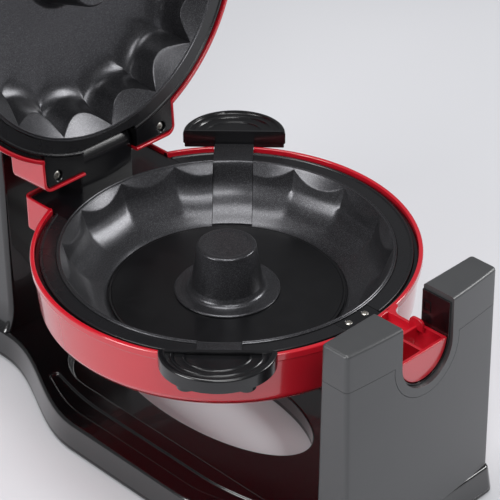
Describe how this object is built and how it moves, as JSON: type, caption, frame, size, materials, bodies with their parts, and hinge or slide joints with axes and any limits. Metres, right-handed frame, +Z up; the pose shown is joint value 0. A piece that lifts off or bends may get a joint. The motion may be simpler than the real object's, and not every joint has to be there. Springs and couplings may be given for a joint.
{
  "type": "electric cake maker",
  "caption": "Countertop cake maker: fluted two-part ring mould in a round red unit that turns over on a black trunnion stand, with a hinged lid and a lift-out insert.",
  "frame": {"origin": "middle of the footprint, on the surface that the feet stand on", "axes": "+Z up, -Y towards the front post and handle, +Y towards the rear column, +X to the right seen from the front"},
  "size_m": [0.2984, 0.4528, 0.5377],
  "materials": {
    "red_shell": "glossy deep red",
    "mould_coating": "dark grey speckled non-stick coating",
    "disc_coating": "dark non-stick coating",
    "flange_grey": "satin dark grey",
    "satin_black": "satin black",
    "gloss_black": "glossy black",
    "post_black": "satin black",
    "rubber": "matt black",
    "steel": "bright steel",
    "tinplate": "bright tinplate"
  },
  "bodies": {
    "stand": {"base_housing": "gloss_black", "base_cover_screw_rear_left": "steel", "foot_pad_rear_left": "rubber", "base_cover_screw_front_left": "steel", "foot_pad_front_left": "rubber", "base_cover_screw_rear_right": "steel", "foot_pad_rear_right": "rubber", "base_cover_screw_front_right": "steel", "foot_pad_front_right": "rubber", "base_bottom_cover": "satin_black", "rear_column": "gloss_black", "rear_bearing_bush": "satin_black", "cord_gland": "rubber", "front_post_body": "post_black", "front_post_cap": "post_black", "front_slot_liner": "gloss_black"},
    "unit": {"lower_shell": "red_shell", "lower_flange_ring": "flange_grey", "lower_trim_ring": "satin_black", "lower_mould": "mould_coating", "lower_heater_element": "steel", "lower_heat_reflector": "tinplate", "lower_thermostat": "tinplate", "handle_bridge_screw_left": "steel", "handle_bridge_screw_right": "steel", "handle_bridge_plate": "satin_black", "lower_hinge_arm": "gloss_black", "hinge_pin": "steel", "rear_spindle": "steel", "lifter_disc": "disc_coating", "lifter_cone": "mould_coating", "lifter_strap_rear": "mould_coating", "lifter_tab_rear": "satin_black", "lifter_strap_front": "mould_coating", "lifter_tab_front": "satin_black"},
    "lid": {"lid_shell": "red_shell", "lid_mould": "mould_coating", "lid_heater_element": "steel", "lid_heat_reflector": "tinplate", "lid_flange_ring": "flange_grey", "lid_trim_ring": "satin_black", "lid_hinge_block_left": "satin_black", "lid_hinge_screw_left": "steel", "lid_hinge_block_right": "satin_black", "lid_hinge_screw_right": "steel"}
  },
  "joints": [
    {"name": "unit_flip", "type": "hinge", "parent": "stand", "child": "unit", "pos_m": [0, -0.02175, 0.1675], "axis": [0, 1, 0], "range_deg": [0, 90]},
    {"name": "lid_hinge", "type": "hinge", "parent": "unit", "child": "lid", "pos_m": [0, 0.12865, 0.1894], "axis": [1, 0, 0], "range_deg": [0, 93]}
  ]
}
